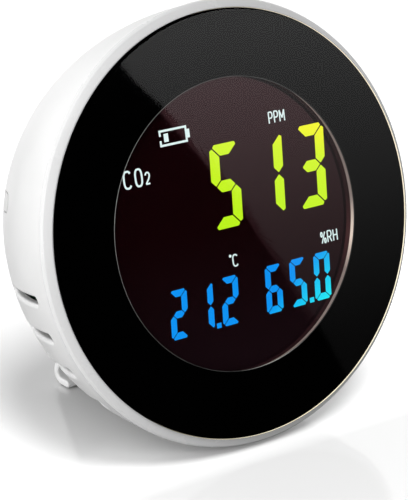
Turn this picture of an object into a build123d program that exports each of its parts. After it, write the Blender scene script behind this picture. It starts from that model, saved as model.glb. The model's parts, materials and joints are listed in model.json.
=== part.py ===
from build123d import *

import os
from math import cos, radians, sin, sqrt

# A round desk-top air quality monitor: a glass-fronted disc in a white bowl-shaped case, which
# leans back on its own round underside and on a folding stand hinged to its back.
#
# The case is drawn lying on its back: +Z comes out of the glass, +Y is the top of the display,
# +X is its right-hand side, and Z = 0 is the bezel seat that the glass is stuck to. The last
# section stands every piece up on the table. All lengths are in millimetres.

# ---------------------------------------------------------------- driving dimensions
LEAN = 12.62                # how far the glass leans back from upright, degrees

# Case
GLASS_RADIUS = 50.0
GLASS_THICKNESS = 0.85
RIM_RADIUS = 52.15          # widest point of the bezel
BOWL_RADIUS = 51.75         # the shell is half an ellipsoid: its radius across ...
BOWL_LENGTH = 60.8          # ... and its semi-axis along the case
CASE_DEPTH = 39.0           # bezel seat to flat back
PARTING_DEPTH = 2.7         # bezel and shell meet here
WALL = 2.0
BACK_ROUNDING = 5.0

# Glass stack in front of the seat
TAPE_THICKNESS = 0.25
MASK_THICKNESS = 0.15
WINDOW_RADIUS = 34.1
SEAT_RADIUS = 36.8
SEAT_THICKNESS = 1.4

# Display stack behind the seat, each layer's front face
POLARISER_FRONT = -1.6
FRONT_GLASS_FRONT = -1.8
SEGMENT_FRONT = -2.5
REAR_GLASS_FRONT = -2.55
REAR_POLARISER_FRONT = -3.25
COLOUR_FILM_FRONT = -3.45
LIGHT_GUIDE_FRONT = -3.6
REFLECTOR_FRONT = -6.1
REFLECTOR_BACK = -6.3
DISPLAY_SIZE = 74.0         # square, with its corners cut
DISPLAY_CORNER = 13.0

# Display holder
HOLDER_RADIUS = 47.2
HOLDER_FRONT = -1.5
HOLDER_FLOOR = -6.4
HOLDER_BACK = -8.0
HOLDER_SCREW_CIRCLE = 45.5

# Circuit board
BOARD_RADIUS = 40.3
BOARD_FRONT = -31.2
BOARD_BACK = -32.8
BOARD_SCREWS = [(0.0, 34.0), (-35.0, -2.0), (35.0, -2.0)]

# Case screws, driven from the back through tubes into the display holder
CASE_SCREWS = [(x, y) for x in (-27.5, 27.5) for y in (-17.0, 17.0)]
TUBE_RADIUS = 3.9
TUBE_FRONT = -12.2
SCREW_SEAT = -20.0
HEAD_HOLE_RADIUS = 2.9

# Side vents: four level slots on each side
VENT_HEIGHTS = [-8.0, -17.0, -26.0, -35.0]
VENT_FRONT = 9.0
VENT_BACK = 30.0
VENT_WIDTH = 1.9
VENT_LIP = 0.8              # rounding of the vents' outer edges

# Stand
STAND_OPENING = 45.0        # angle between the stand and the flat back when open, degrees
HINGE_Y = -16.0
HINGE_Z = -36.9
STAND_HALF_WIDTH = 20.0
STAND_THICKNESS = 1.8
BARREL_RADIUS = 1.9
HEEL = 2.9                  # tail past the hinge, which meets the recess floor as a stop
FOOT_RADIUS = 3.1           # outside of the curled foot
TOE = 3.6                   # flat of the foot, counting its rounded tip
PIN_RADIUS = 1.0
PIN_HALF_LENGTH = 22.5
PAD_PROUD = 0.25            # the rubber pad stands this far out of the toe
PAD_THICKNESS = 0.6
RECESS_HALF_WIDTH = 20.6
RECESS_TOP = -12.0
RECESS_STEP = -19.6
RECESS_DEEP_Z = -34.6
RECESS_SHALLOW_Z = -36.5

# Buttons
SIDE_BUTTON_Y = 12.5
SIDE_BUTTON_Z = -28.7
SIDE_BUTTON_LENGTH = 9.2
SIDE_BUTTON_WIDTH = 4.0
BACK_BUTTONS = {"mode_button": (-14.0, 20.0), "set_button": (14.0, 20.0)}
BACK_BUTTON_RADIUS = 3.5
BUTTON_GAP = 0.3
BUTTON_PROUD = 0.5

# Charging socket in the back
SOCKET_X = 29.0
SOCKET_LENGTH = 9.0
SOCKET_WIDTH = 3.2

# Figures on the display: seven-segment bars, and their lean to the right
DIGIT_SLANT = 0.078
BIG_DIGITS = "513"
BIG_FIRST_X = -0.8
BIG_PITCH = 12.57
BIG_CENTRE_Y = 9.2
SMALL_DIGITS = "212650"
SMALL_FIRST_X = -18.36
SMALL_PITCH = 7.28
SMALL_GROUP_GAP = 5.57
SMALL_CENTRE_Y = -17.43
SEGMENTS_LIT = {
    "0": "abcdef", "1": "bc", "2": "abged", "3": "abgcd", "5": "afgcd", "6": "afgedc",
}
# Unit symbols are drawn with a pen: each line runs through points in a box one wide and one high
LETTER_LINES = {
    "C": [[(1, 0.8), (1, 1), (0, 1), (0, 0), (1, 0), (1, 0.2)]],
    "O": [[(0, 0), (0, 1), (1, 1), (1, 0), (0, 0)]],
    "2": [[(0, 0.8), (0, 1), (1, 1), (1, 0.6), (0, 0), (1, 0)]],
    "P": [[(0, 0), (0, 1), (1, 1), (1, 0.48), (0, 0.48)]],
    "M": [[(0, 0), (0, 1), (0.5, 0.4), (1, 1), (1, 0)]],
    "R": [[(0, 0), (0, 1), (1, 1), (1, 0.48), (0, 0.48)], [(0.45, 0.48), (1, 0)]],
    "H": [[(0, 0), (0, 1)], [(1, 0), (1, 1)], [(0, 0.5), (1, 0.5)]],
    "%": [[(0, 0), (1, 1)], [(0, 0.75), (0, 1)], [(1, 0), (1, 0.25)]],
}


def bowl_radius(depth):
    """Outside radius of the shell at a depth behind the seat."""
    return BOWL_RADIUS * sqrt(1 - (depth / BOWL_LENGTH) ** 2)


def on_bowl(edge):
    """True for an edge that lies on the shell's outer surface."""
    for share in (0, 0.25, 0.5, 0.75, 1):
        point = edge @ share
        radius = sqrt(point.X**2 + point.Y**2)
        if abs(radius - bowl_radius(-point.Z)) > 0.02:
            return False
    return True


def bowl(inset):
    """The solid inside the shell's outer surface, drawn in by inset."""
    across = BOWL_RADIUS - inset
    along = BOWL_LENGTH - inset
    back = CASE_DEPTH - inset
    with BuildPart() as solid:
        with BuildSketch(Plane.XZ) as outline:
            Ellipse(across, along)
            with Locations((0, -PARTING_DEPTH)):
                Rectangle(
                    BOWL_RADIUS,
                    back - PARTING_DEPTH,
                    align=(Align.MIN, Align.MAX),
                    mode=Mode.INTERSECT,
                )
            back_corner = outline.vertices().group_by(Axis.Y)[0].sort_by(Axis.X)[-1]
            fillet(back_corner, radius=BACK_ROUNDING - inset)
        revolve(axis=Axis.Z)
    return solid.part


def ring(outer, inner, height):
    """Outline of a flat ring about the case's axis, its back face at height."""
    with BuildSketch(Plane.XY.offset(height)) as outline:
        Circle(outer)
        Circle(inner, mode=Mode.SUBTRACT)
    return outline.sketch


def display_layer(height, margin=0.0, top=0.0, bottom=0.0):
    """Outline of one layer of the display: a square with cut corners, its back face at height.

    The whole layer is smaller by margin all round, and its top and bottom edges can be trimmed.
    """
    size = DISPLAY_SIZE - 2 * margin
    with BuildSketch(Plane.XY.offset(height)) as outline:
        Rectangle(size, size)
        chamfer(outline.vertices(), length=DISPLAY_CORNER)
        with Locations((0, (bottom - top) / 2)):
            Rectangle(size, size - top - bottom, mode=Mode.INTERSECT)
    return outline.sketch


def segment_outline(name, half_width, half_height, stroke):
    """Corners of one bar of a seven-segment figure, upright and centred on the figure."""
    w, h, s = half_width, half_height, stroke
    cut = 0.24 * s
    gap = 0.07 * s
    top = [
        (-w + s + gap, h - s),
        (-w + cut + gap, h - cut),
        (-w + 2 * cut, h),
        (w - 2 * cut, h),
        (w - cut - gap, h - cut),
        (w - s - gap, h - s),
    ]
    upper_right = [
        (w, h - 2 * cut),
        (w - cut, h - cut - gap),
        (w - s, h - s - gap),
        (w - s, s / 2 + gap),
        (w - s / 2, gap),
        (w, s / 2 + gap),
    ]
    middle = [
        (-w + s / 2 + gap, 0),
        (-w + s + gap, s / 2),
        (w - s - gap, s / 2),
        (w - s / 2 - gap, 0),
        (w - s - gap, -s / 2),
        (-w + s + gap, -s / 2),
    ]
    outlines = {
        "a": top,
        "b": upper_right,
        "c": [(x, -y) for x, y in upper_right],
        "d": [(x, -y) for x, y in top],
        "e": [(-x, -y) for x, y in upper_right],
        "f": [(-x, y) for x, y in upper_right],
        "g": middle,
    }
    return outlines[name]


def figure(digit, centre, half_width, half_height, stroke):
    """The lit bars of one figure, as leaning outlines on the display plane."""
    bars = []
    for name in SEGMENTS_LIT[digit]:
        upright = segment_outline(name, half_width, half_height, stroke)
        bars.append([(centre[0] + x + DIGIT_SLANT * y, centre[1] + y) for x, y in upright])
    return bars


def pen_stroke(start, end, width):
    """Corners of a straight square-ended pen stroke between two points."""
    along = (Vector(*end) - Vector(*start)).normalized() * (width / 2)
    across = along.rotate(Axis.Z, 90)
    return [
        Vector(*start) - along + across,
        Vector(*end) + along + across,
        Vector(*end) + along - across,
        Vector(*start) - along - across,
    ]


def letter(name, left, bottom, width, height, pen):
    """The pen strokes of one letter in a box, as outlines on the display plane."""
    strokes = []
    for line in LETTER_LINES[name]:
        points = []
        for across, up in line:
            x = left + pen / 2 + across * (width - pen)
            y = bottom + pen / 2 + up * (height - pen)
            points.append((x, y))
        for start, end in zip(points, points[1:]):
            strokes.append(pen_stroke(start, end, pen))
    return strokes


def block(low, high):
    """A block between two opposite corners, added to the part being built."""
    middle = [(a + b) / 2 for a, b in zip(low, high)]
    size = [b - a for a, b in zip(low, high)]
    with Locations(tuple(middle)):
        Box(*size)


# ---------------------------------------------------------------- glass, mask and tape
MASK_BACK = TAPE_THICKNESS
GLASS_BACK = MASK_BACK + MASK_THICKNESS
GLASS_FRONT = GLASS_BACK + GLASS_THICKNESS

with BuildPart() as front_glass:
    with BuildSketch(Plane.XY.offset(GLASS_BACK)):
        Circle(GLASS_RADIUS)
    extrude(amount=GLASS_THICKNESS)
    fillet(front_glass.edges().sort_by(Axis.Z)[-1], radius=0.5)
    chamfer(front_glass.edges().sort_by(Axis.Z)[0], length=0.1)

with BuildPart() as printed_mask:
    extrude(ring(GLASS_RADIUS - 0.2, WINDOW_RADIUS, MASK_BACK), amount=MASK_THICKNESS)

with BuildPart() as glass_tape:
    extrude(ring(GLASS_RADIUS - 0.5, SEAT_RADIUS + 0.1, 0), amount=TAPE_THICKNESS)

# ---------------------------------------------------------------- bezel
SKIRT_OUTER = 49.3
SKIRT_INNER = 47.8
SKIRT_BACK = -6.0

with BuildPart() as front_bezel:
    with BuildSketch(Plane.XZ) as bezel_section:
        with BuildLine():
            Polyline(
                (SEAT_RADIUS, 0),
                (GLASS_RADIUS + 0.05, 0),
                (BOWL_RADIUS, -0.95),
                (RIM_RADIUS, -1.6),
                (RIM_RADIUS, -2.2),
                (BOWL_RADIUS, -2.6),
                (SKIRT_OUTER, -2.6),
                (SKIRT_OUTER, SKIRT_BACK),
                (SKIRT_INNER, SKIRT_BACK),
                (SKIRT_INNER, -SEAT_THICKNESS),
                (SEAT_RADIUS, -SEAT_THICKNESS),
                close=True,
            )
        make_face()
        rim_corners = bezel_section.vertices().filter_by_position(Axis.Y, -2.3, -0.9)
        fillet(rim_corners.filter_by_position(Axis.X, GLASS_RADIUS + 1, 60), radius=0.28)
    revolve(axis=Axis.Z)
    # four bosses for the display holder's screws
    with BuildSketch(Plane.XY.offset(-SEAT_THICKNESS)):
        with PolarLocations(HOLDER_SCREW_CIRCLE, 4, start_angle=45):
            Circle(2.0)
    extrude(amount=HOLDER_FLOOR + 0.1 + SEAT_THICKNESS)
    with BuildSketch(Plane.XY.offset(HOLDER_FLOOR + 0.1)):
        with PolarLocations(HOLDER_SCREW_CIRCLE, 4, start_angle=45):
            Circle(0.85)
    extrude(amount=4.2, mode=Mode.SUBTRACT)

# ---------------------------------------------------------------- display
GASKET_BACK = POLARISER_FRONT + 0.02

with BuildPart() as display_gasket:
    extrude(
        ring(SEAT_RADIUS - 0.2, WINDOW_RADIUS + 0.6, GASKET_BACK),
        amount=MASK_BACK - 0.02 - GASKET_BACK,
    )

with BuildPart() as front_polariser:
    extrude(
        display_layer(FRONT_GLASS_FRONT, margin=0.5, bottom=1.6),
        amount=POLARISER_FRONT - FRONT_GLASS_FRONT,
    )

with BuildPart() as display_front_glass:
    extrude(
        display_layer(SEGMENT_FRONT, bottom=2.0),
        amount=FRONT_GLASS_FRONT - SEGMENT_FRONT,
    )

with BuildPart() as display_rear_glass:
    extrude(
        display_layer(REAR_POLARISER_FRONT),
        amount=REAR_GLASS_FRONT - REAR_POLARISER_FRONT,
    )

with BuildPart() as rear_polariser:
    extrude(
        display_layer(COLOUR_FILM_FRONT, margin=0.5),
        amount=REAR_POLARISER_FRONT - COLOUR_FILM_FRONT,
    )

with BuildPart() as colour_film:
    extrude(
        display_layer(LIGHT_GUIDE_FRONT, margin=0.5),
        amount=COLOUR_FILM_FRONT - LIGHT_GUIDE_FRONT,
    )

with BuildPart() as light_guide:
    extrude(
        display_layer(REFLECTOR_FRONT, top=2.4),
        amount=LIGHT_GUIDE_FRONT - REFLECTOR_FRONT,
    )

with BuildPart() as reflector_film:
    extrude(
        display_layer(REFLECTOR_BACK, margin=0.2, top=2.2),
        amount=REFLECTOR_FRONT - REFLECTOR_BACK,
    )

# The lit figures are one liquid crystal layer between the two glasses.
big_bars = []
for place, digit in enumerate(BIG_DIGITS):
    big_centre = (BIG_FIRST_X + BIG_PITCH * place, BIG_CENTRE_Y)
    big_bars += figure(digit, big_centre, half_width=4.17, half_height=9.8, stroke=2.68)

small_bars = []
for place, digit in enumerate(SMALL_DIGITS):
    group_shift = SMALL_GROUP_GAP if place > 2 else 0.0
    small_centre = (SMALL_FIRST_X + SMALL_PITCH * place + group_shift, SMALL_CENTRE_Y)
    small_bars += figure(digit, small_centre, half_width=2.43, half_height=5.68, stroke=1.6)

FIGURE_THICKNESS = SEGMENT_FRONT - REAR_GLASS_FRONT

with BuildPart() as co2_figures:
    with BuildSketch(Plane.XY.offset(REAR_GLASS_FRONT)):
        for bar in big_bars:
            with BuildLine():
                Polyline(*bar, close=True)
            make_face()
    extrude(amount=FIGURE_THICKNESS)

with BuildPart() as climate_figures:
    with BuildSketch(Plane.XY.offset(REAR_GLASS_FRONT)):
        for bar in small_bars:
            with BuildLine():
                Polyline(*bar, close=True)
            make_face()
        # decimal points
        with Locations((-7.8, -22.5), (19.7, -22.5)):
            Rectangle(1.3, 1.2)
    extrude(amount=FIGURE_THICKNESS)

with BuildPart() as battery_symbol:
    with BuildSketch(Plane.XY.offset(REAR_GLASS_FRONT)):
        with Locations((-13.55, 23.0)):
            Rectangle(7.7, 3.8)
            Rectangle(6.5, 2.6, mode=Mode.SUBTRACT)
        with Locations((-17.1, 23.0)):
            Rectangle(0.7, 0.9, mode=Mode.SUBTRACT)
        with Locations((-9.4, 23.0)):
            Rectangle(0.8, 2.0)
        with Locations((-15.55, 23.0)):
            Rectangle(1.3, 1.9)
    extrude(amount=FIGURE_THICKNESS)

unit_strokes = []
for name, left in (("C", -28.0), ("O", -25.3)):
    unit_strokes += letter(name, left, 13.3, width=2.3, height=4.3, pen=0.57)
unit_strokes += letter("2", -22.6, 13.4, width=1.45, height=2.9, pen=0.45)
for name, left, width in (("P", 13.5, 1.3), ("P", 15.1, 1.3), ("M", 16.7, 1.65)):
    unit_strokes += letter(name, left, 21.0, width=width, height=2.95, pen=0.42)
unit_strokes += letter("C", -1.75, -9.95, width=1.65, height=3.0, pen=0.42)
for name, left in (("%", 24.5), ("R", 26.4), ("H", 28.2)):
    unit_strokes += letter(name, left, -9.95, width=1.5, height=3.0, pen=0.42)

with BuildPart() as unit_symbols:
    with BuildSketch(Plane.XY.offset(REAR_GLASS_FRONT)):
        for stroke in unit_strokes:
            with BuildLine():
                Polyline(*stroke, close=True)
            make_face()
        # degree sign
        with Locations((-2.3, -7.25)):
            Circle(0.33)
    extrude(amount=FIGURE_THICKNESS)

# Backlight lamps on a strip along the top edge of the light guide
with BuildPart() as lamp_strip:
    block((-23.5, 36.0, -6.0), (23.5, 36.9, -3.7))

with BuildPart() as backlight_lamps:
    with BuildSketch(Plane.XZ.offset(-36.0)):
        with Locations((0, -4.85)):
            with GridLocations(9.0, 1, 5, 1):
                Rectangle(3.0, 1.6)
    extrude(amount=1.1)

# ---------------------------------------------------------------- display holder
with BuildPart() as display_holder:
    with BuildSketch(Plane.XY.offset(HOLDER_BACK)):
        Circle(HOLDER_RADIUS)
    extrude(amount=HOLDER_FRONT - HOLDER_BACK)
    with BuildSketch(Plane.XY.offset(HOLDER_FLOOR)) as display_well:
        Rectangle(DISPLAY_SIZE + 0.4, DISPLAY_SIZE + 0.4)
        chamfer(display_well.vertices(), length=DISPLAY_CORNER)
        with PolarLocations(HOLDER_SCREW_CIRCLE, 4, start_angle=45):
            Circle(2.3)
    extrude(amount=HOLDER_FRONT - HOLDER_FLOOR, mode=Mode.SUBTRACT)
    # screw ears, and a slot for the display's ribbon
    with BuildSketch(Plane.XY.offset(HOLDER_BACK)):
        with PolarLocations(HOLDER_SCREW_CIRCLE, 4, start_angle=45):
            Circle(1.15)
        with Locations((0, -38.5)):
            Rectangle(21.2, 2.6)
    extrude(amount=HOLDER_FRONT - HOLDER_BACK, mode=Mode.SUBTRACT)
    # bosses that the case screws bite into
    with BuildSketch(Plane.XY.offset(TUBE_FRONT + 0.1)):
        with Locations(*CASE_SCREWS):
            Circle(3.0)
    extrude(amount=HOLDER_BACK - TUBE_FRONT - 0.1)
    with BuildSketch(Plane.XY.offset(TUBE_FRONT + 0.1)):
        with Locations(*CASE_SCREWS):
            Circle(1.15)
    extrude(amount=4.0, mode=Mode.SUBTRACT)

with BuildPart() as holder_screws:
    with BuildSketch(Plane.XY.offset(HOLDER_BACK)):
        with PolarLocations(HOLDER_SCREW_CIRCLE, 4, start_angle=45):
            Circle(0.8)
    extrude(amount=4.8)
    with BuildSketch(Plane.XY.offset(HOLDER_BACK)) as holder_heads:
        with PolarLocations(HOLDER_SCREW_CIRCLE, 4, start_angle=45):
            Circle(1.7)
    extrude(amount=-1.3)
    fillet(holder_screws.edges().group_by(Axis.Z)[0], radius=0.4)
    with BuildSketch(Plane.XY.offset(HOLDER_BACK - 1.3)):
        with PolarLocations(HOLDER_SCREW_CIRCLE, 4, start_angle=45):
            Rectangle(1.8, 0.45)
            Rectangle(0.45, 1.8)
    extrude(amount=0.7, mode=Mode.SUBTRACT)

# ---------------------------------------------------------------- rear shell
outer_bowl = bowl(0.0)
inner_bowl = bowl(WALL)

# Walls of the stand's recess, cut to the shell's own outer surface
with BuildPart() as recess_walls:
    with BuildSketch(Plane.YZ):
        with BuildLine():
            Polyline(
                (RECESS_TOP + 1.6, -CASE_DEPTH),
                (RECESS_TOP + 1.6, RECESS_DEEP_Z + 1.4),
                (RECESS_STEP - 1.6, RECESS_DEEP_Z + 1.4),
                (RECESS_STEP - 1.6, RECESS_SHALLOW_Z + 1.5),
                (-BOWL_RADIUS, RECESS_SHALLOW_Z + 1.5),
                (-BOWL_RADIUS, -CASE_DEPTH),
                close=True,
            )
        make_face()
    extrude(amount=RECESS_HALF_WIDTH + 3.6, both=True)
    add(outer_bowl, mode=Mode.INTERSECT)

with BuildPart() as rear_shell:
    add(outer_bowl)
    add(inner_bowl, mode=Mode.SUBTRACT)
    add(recess_walls.part)
    # screw tubes, circuit board posts
    with BuildSketch(Plane.XY.offset(-CASE_DEPTH + 1)):
        with Locations(*CASE_SCREWS):
            Circle(TUBE_RADIUS)
    extrude(amount=CASE_DEPTH - 1 + TUBE_FRONT)
    with BuildSketch(Plane.XY.offset(-CASE_DEPTH + 1)):
        with Locations(*BOARD_SCREWS):
            Circle(2.4)
    extrude(amount=CASE_DEPTH - 1 + BOARD_BACK)
    # stand recess: deep at the hinge, shallow under the folded plate
    with BuildSketch(Plane.YZ):
        with BuildLine():
            Polyline(
                (RECESS_TOP, -CASE_DEPTH - 1),
                (RECESS_TOP, RECESS_DEEP_Z),
                (RECESS_STEP, RECESS_DEEP_Z),
                (RECESS_STEP - 1.2, RECESS_SHALLOW_Z),
                (-BOWL_RADIUS, RECESS_SHALLOW_Z),
                (-BOWL_RADIUS, -CASE_DEPTH - 1),
                close=True,
            )
        make_face()
    extrude(amount=RECESS_HALF_WIDTH, both=True, mode=Mode.SUBTRACT)
    # snap-in sockets for the hinge pin, open to the back
    with BuildSketch(Plane.YZ):
        with Locations((HINGE_Y, HINGE_Z)):
            Circle(PIN_RADIUS + 0.06)
            Rectangle(1.7, 6.0, align=(Align.CENTER, Align.MAX))
    extrude(amount=PIN_HALF_LENGTH + 0.3, both=True, mode=Mode.SUBTRACT)
    # screw tubes: head hole from the back, shank hole right through
    with BuildSketch(Plane.XY.offset(-CASE_DEPTH)):
        with Locations(*CASE_SCREWS):
            Circle(HEAD_HOLE_RADIUS)
    extrude(amount=CASE_DEPTH + SCREW_SEAT, mode=Mode.SUBTRACT)
    with BuildSketch(Plane.XY.offset(-CASE_DEPTH)):
        with Locations(*CASE_SCREWS):
            Circle(1.45)
    extrude(amount=CASE_DEPTH, mode=Mode.SUBTRACT)
    # pilot holes in the circuit board posts
    with BuildSketch(Plane.XY.offset(-CASE_DEPTH + 1.2)):
        with Locations(*BOARD_SCREWS):
            Circle(0.85)
    extrude(amount=CASE_DEPTH - 1.2 + BOARD_BACK, mode=Mode.SUBTRACT)
    # back wall: two buttons, charging socket, sound holes
    with BuildSketch(Plane.XY.offset(-CASE_DEPTH)):
        with Locations(*BACK_BUTTONS.values()):
            Circle(BACK_BUTTON_RADIUS + BUTTON_GAP)
        with Locations((SOCKET_X, 0)):
            SlotOverall(SOCKET_LENGTH + 0.5, SOCKET_WIDTH + 0.5, rotation=90)
        with Locations((0, 25)):
            Circle(0.6)
            with PolarLocations(2.4, 6):
                Circle(0.6)
    extrude(amount=WALL + 0.5, mode=Mode.SUBTRACT)
    back_rims = rear_shell.edges().filter_by_position(Axis.Z, -CASE_DEPTH, -CASE_DEPTH)
    fillet(back_rims.filter_by(GeomType.CIRCLE).filter_by(lambda rim: 2 < rim.radius < 5), radius=0.4)
    # side button
    with BuildSketch(Plane.YZ.offset(-36)):
        with Locations((SIDE_BUTTON_Y, SIDE_BUTTON_Z)):
            SlotOverall(
                SIDE_BUTTON_LENGTH + 2 * BUTTON_GAP,
                SIDE_BUTTON_WIDTH + 2 * BUTTON_GAP,
                rotation=90,
            )
    extrude(amount=-20, mode=Mode.SUBTRACT)
    # side vents, each cut from just inside the wall outwards
    for height in VENT_HEIGHTS:
        inner_radius = bowl_radius(VENT_BACK) - WALL
        start = sqrt(inner_radius**2 - height**2) - 1.5
        for side in (-1, 1):
            with BuildSketch(Plane.YZ.offset(side * start)):
                with Locations((height, -(VENT_FRONT + VENT_BACK) / 2)):
                    SlotOverall(VENT_BACK - VENT_FRONT, VENT_WIDTH, rotation=90)
            extrude(amount=side * 30, mode=Mode.SUBTRACT)
    beside_vents = rear_shell.edges().filter_by_position(Axis.Z, -VENT_BACK - 1, -VENT_FRONT + 1)
    fillet(
        [
            edge
            for edge in beside_vents
            if on_bowl(edge) and edge.center().Y < VENT_HEIGHTS[0] + VENT_WIDTH
        ],
        radius=VENT_LIP,
    )

with BuildPart() as case_screws:
    with BuildSketch(Plane.XY.offset(SCREW_SEAT)):
        with Locations(*CASE_SCREWS):
            Circle(1.1)
    extrude(amount=11.2)
    with BuildSketch(Plane.XY.offset(SCREW_SEAT)):
        with Locations(*CASE_SCREWS):
            Circle(2.3)
    extrude(amount=-1.8)
    fillet(case_screws.edges().group_by(Axis.Z)[0], radius=0.5)
    with BuildSketch(Plane.XY.offset(SCREW_SEAT - 1.8)):
        with Locations(*CASE_SCREWS):
            Rectangle(2.6, 0.6)
            Rectangle(0.6, 2.6)
    extrude(amount=1.1, mode=Mode.SUBTRACT)

# ---------------------------------------------------------------- circuit board and what it carries
SENSOR_CENTRE = (0.0, -22.0)
LEAD_X = (-15.0, -13.0)

with BuildPart() as circuit_board:
    with BuildSketch(Plane.XY.offset(BOARD_BACK)):
        Circle(BOARD_RADIUS)
        with Locations(*CASE_SCREWS):
            Circle(TUBE_RADIUS + 0.4, mode=Mode.SUBTRACT)
        with Locations(*BOARD_SCREWS):
            Circle(1.1, mode=Mode.SUBTRACT)
        with Locations((-38.6, SIDE_BUTTON_Y)):
            Rectangle(6.2, 8.4, mode=Mode.SUBTRACT)
    extrude(amount=BOARD_FRONT - BOARD_BACK)

with BuildPart() as board_screws:
    with BuildSketch(Plane.XY.offset(BOARD_FRONT)):
        with Locations(*BOARD_SCREWS):
            Circle(1.7)
    extrude(amount=1.3)
    fillet(board_screws.edges().group_by(Axis.Z)[-1], radius=0.4)
    with BuildSketch(Plane.XY.offset(BOARD_FRONT)):
        with Locations(*BOARD_SCREWS):
            Circle(0.8)
    extrude(amount=-5.6)

with BuildPart() as co2_sensor:
    with BuildSketch(Plane.XY.offset(BOARD_FRONT)):
        with Locations(SENSOR_CENTRE):
            RectangleRounded(33, 20, 0.8)
    extrude(amount=1.2)
    with BuildSketch(Plane.XY.offset(BOARD_FRONT + 1.2)):
        with Locations(SENSOR_CENTRE):
            RectangleRounded(29, 16, 1.5)
    extrude(amount=6.6)
    fillet(co2_sensor.faces().sort_by(Axis.Z)[-1].edges(), radius=0.8)

with BuildPart() as sensor_filters:
    with BuildSketch(Plane.XY.offset(BOARD_FRONT + 7.8)):
        with Locations((-7, -22), (7, -22)):
            RectangleRounded(9, 11, 1)
    extrude(amount=0.3)

with BuildPart() as climate_sensor:
    block((-22.5, -31.0, BOARD_FRONT), (-19.5, -28.0, BOARD_FRONT + 1.1))

with BuildPart() as microcontroller:
    block((-4.5, 2, BOARD_FRONT), (4.5, 11, BOARD_FRONT + 1.3))

with BuildPart() as board_components:
    with BuildSketch(Plane.XY.offset(BOARD_FRONT)):
        with Locations((14, 8), (14, -1)):
            Rectangle(5, 4)
        with Locations((-13, 8), (-13, 2)):
            Rectangle(3.2, 2.5)
        with Locations((22, 2)):
            with GridLocations(3, 2.4, 1, 3):
                Rectangle(2.0, 1.2)
        with Locations((-22, 4)):
            with GridLocations(2.4, 2.2, 2, 3):
                Rectangle(1.6, 0.8)
    extrude(amount=1.1)

with BuildPart() as buzzer:
    with BuildSketch(Plane.XY.offset(BOARD_BACK)):
        with Locations((0, 25)):
            Circle(4.5)
    extrude(amount=-2.6)
    with BuildSketch(Plane.XY.offset(BOARD_BACK - 2.6)):
        with Locations((0, 25)):
            Circle(0.9)
    extrude(amount=0.6, mode=Mode.SUBTRACT)

with BuildPart() as back_switches:
    with BuildSketch(Plane.XY.offset(BOARD_BACK)):
        with Locations(*BACK_BUTTONS.values()):
            Rectangle(5.2, 5.2)
    extrude(amount=-1.4)
    with BuildSketch(Plane.XY.offset(BOARD_BACK - 1.4)):
        with Locations(*BACK_BUTTONS.values()):
            Circle(1.4)
    extrude(amount=-0.5)

with BuildPart() as side_switch:
    block(
        (-36.5, SIDE_BUTTON_Y - 3, BOARD_FRONT),
        (-33.4, SIDE_BUTTON_Y + 3, BOARD_FRONT + 3.5),
    )
    with BuildSketch(Plane.YZ.offset(-36.5)):
        with Locations((SIDE_BUTTON_Y, BOARD_FRONT + 1.8)):
            Circle(1.0)
    extrude(amount=-0.5)

with BuildPart() as usb_socket:
    with BuildSketch(Plane.XY.offset(BOARD_BACK)):
        with Locations((SOCKET_X, 0)):
            SlotOverall(SOCKET_LENGTH, SOCKET_WIDTH, rotation=90)
    extrude(amount=-6.0)
    with BuildSketch(Plane.XY.offset(BOARD_BACK - 6.0)):
        with Locations((SOCKET_X, 0)):
            SlotOverall(SOCKET_LENGTH - 0.64, SOCKET_WIDTH - 0.64, rotation=90)
    extrude(amount=5.2, mode=Mode.SUBTRACT)

with BuildPart() as usb_tongue:
    with BuildSketch(Plane.XY.offset(BOARD_BACK - 0.8)):
        with Locations((SOCKET_X, 0)):
            Rectangle(0.7, 6.7)
    extrude(amount=-4.4)

# ---------------------------------------------------------------- battery
BATTERY_FRONT = HOLDER_BACK - 0.55
BATTERY_BACK = BATTERY_FRONT - 8.0
BATTERY_TOP = 21.0

with BuildPart() as battery_tape:
    block((-20, -9, HOLDER_BACK - 0.5), (20, 17, HOLDER_BACK))

with BuildPart() as battery:
    with BuildSketch(Plane.XY.offset(BATTERY_BACK)):
        with Locations((0, BATTERY_TOP - 17)):
            RectangleRounded(46, 34, 2.0)
    extrude(amount=BATTERY_FRONT - BATTERY_BACK)
    fillet(battery.faces().sort_by(Axis.Z)[0].edges(), radius=1.5)
    fillet(battery.faces().sort_by(Axis.Z)[-1].edges(), radius=1.5)

with BuildPart() as battery_connector:
    block((-17.8, 28.0, BOARD_FRONT), (-10.2, 33.4, BOARD_FRONT + 4.0))

with BuildPart() as battery_leads:
    for lead_x in LEAD_X:
        with BuildLine(Plane.YZ.offset(lead_x)) as lead_route:
            FilletPolyline(
                (BATTERY_TOP, -12.6),
                (36.4, -12.6),
                (36.4, BOARD_FRONT + 2.0),
                (33.4, BOARD_FRONT + 2.0),
                radius=1.8,
            )
        with BuildSketch(Plane(origin=(lead_x, BATTERY_TOP, -12.6), z_dir=(0, 1, 0))):
            Circle(0.6)
        sweep(path=lead_route.wire())

# ---------------------------------------------------------------- display ribbon
with BuildPart() as ribbon_connector:
    block((-11, -37, BOARD_FRONT), (11, -33.6, BOARD_FRONT + 1.8))

RIBBON_FRONT = REAR_GLASS_FRONT + 0.22
RIBBON_END = BOARD_FRONT + 0.8

with BuildPart() as display_ribbon:
    with BuildSketch(Plane.YZ):
        with BuildLine():
            Polyline(
                (-35.3, RIBBON_FRONT),
                (-38.6, RIBBON_FRONT),
                (-38.6, RIBBON_END),
                (-37.05, RIBBON_END),
                (-37.05, RIBBON_END + 0.2),
                (-38.4, RIBBON_END + 0.2),
                (-38.4, RIBBON_FRONT - 0.2),
                (-35.3, RIBBON_FRONT - 0.2),
                close=True,
            )
        make_face()
    extrude(amount=10, both=True)

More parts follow.
